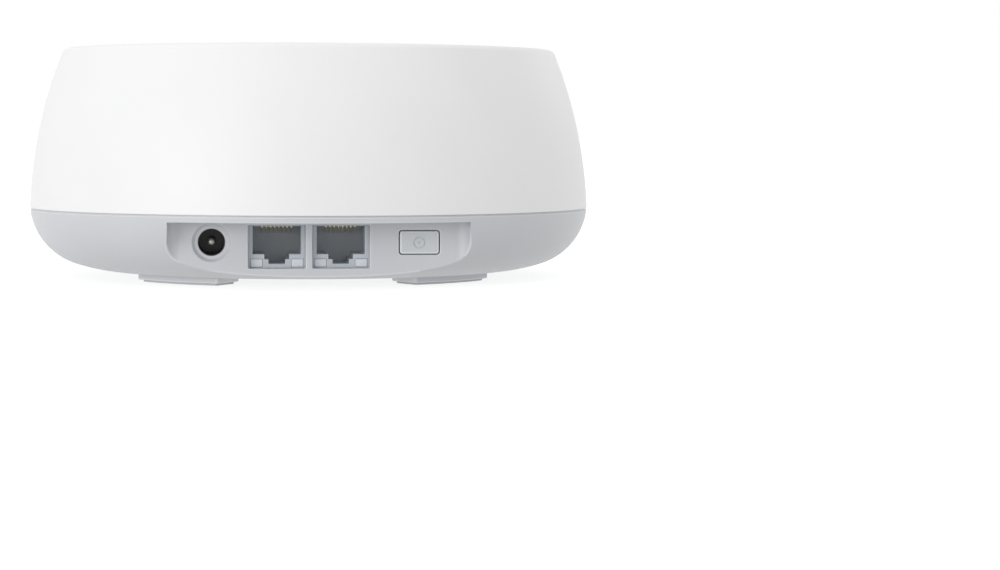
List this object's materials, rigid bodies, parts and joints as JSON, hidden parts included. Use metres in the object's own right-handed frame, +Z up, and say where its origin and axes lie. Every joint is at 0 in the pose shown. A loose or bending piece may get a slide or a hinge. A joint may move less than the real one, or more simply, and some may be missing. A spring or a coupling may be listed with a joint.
{
  "type": "mesh wifi node",
  "caption": "Round wifi node: white domed cover over a grey bowl base on rubber feet, with a rear pocket for a power jack, network jacks and a push button.",
  "frame": {"origin": "on the surface the feet stand on, under the body's round axis", "axes": "+Z up along the body's round axis; -Y points out of the panel with the jacks and the button, +X to the right when facing that panel"},
  "size_m": [0.148, 0.148, 0.0614],
  "materials": {
    "cover_white": "satin moulded",
    "base_grey": "fine satin moulded",
    "button_grey": "fine satin moulded",
    "foot_rubber": "matt",
    "screw_steel": "zinc plated",
    "board_green": "solder mask",
    "jack_plastic": "moulded",
    "contact_gold": "gold plated",
    "light_window": "translucent",
    "black_plastic": "moulded",
    "switch_ivory": "moulded",
    "pin_nickel": "nickel plated",
    "sink_aluminium": "milled",
    "pad_silicone": "soft",
    "chip_black": "epoxy",
    "shield_tin": "tin plated",
    "ferrite_grey": "sintered",
    "can_aluminium": "drawn",
    "bracket_white": "moulded",
    "antenna_laminate": "copper on laminate",
    "lead_jacket": "smooth",
    "led_white": "clear",
    "label_paper": "satin paper"
  },
  "bodies": {
    "housing": {"top_cover": "cover_white", "base_shell": "base_grey", "rubber_feet": "foot_rubber", "case_screws": "screw_steel", "board_screws": "screw_steel", "heatsink_screws": "screw_steel", "bracket_screws": "screw_steel", "main_board": "board_green", "lan_jack_left": "jack_plastic", "lan_jack_right": "jack_plastic", "lan_contacts_left": "contact_gold", "lan_contacts_right": "contact_gold", "antenna_sockets": "contact_gold", "jack_light_pipes": "light_window", "status_light_pipe": "light_window", "power_jack_housing": "black_plastic", "button_switch_body": "black_plastic", "reset_switch_body": "black_plastic", "power_jack_pin": "pin_nickel", "power_jack_spring": "pin_nickel", "heatsink": "sink_aluminium", "thermal_pads": "pad_silicone", "main_processor": "chip_black", "memory_chips": "chip_black", "radio_chips": "chip_black", "lan_transformers": "chip_black", "power_regulators": "chip_black", "radio_shields": "shield_tin", "clock_crystals": "shield_tin", "power_inductors": "ferrite_grey", "filter_capacitors": "can_aluminium", "antenna_bracket": "bracket_white", "antenna_elements": "antenna_laminate", "antenna_leads": "lead_jacket", "status_led": "led_white", "base_label": "label_paper"},
    "push_button": {"pairing_button": "button_grey"},
    "push_button_switch": {"button_switch_plunger": "switch_ivory"},
    "reset_button": {"reset_button": "button_grey"},
    "reset_switch": {"reset_switch_plunger": "switch_ivory"}
  },
  "joints": [
    {"name": "push_button_press", "type": "slide", "parent": "housing", "child": "push_button", "axis": [0, 1, 0], "range_m": [0, 0.0003], "stiffness_N_per_m": 2000},
    {"name": "push_switch_press", "type": "slide", "parent": "housing", "child": "push_button_switch", "axis": [0, 1, 0], "range_m": [0, 0.0003]},
    {"name": "reset_button_press", "type": "slide", "parent": "housing", "child": "reset_button", "axis": [0, 0, 1], "range_m": [0, 0.00025], "stiffness_N_per_m": 2000},
    {"name": "reset_switch_press", "type": "slide", "parent": "housing", "child": "reset_switch", "axis": [0, 0, 1], "range_m": [0, 0.00025]}
  ],
  "couplings": [
    {"joint": "push_switch_press", "follows": "push_button_press", "ratio": 1},
    {"joint": "reset_switch_press", "follows": "reset_button_press", "ratio": 1}
  ]
}
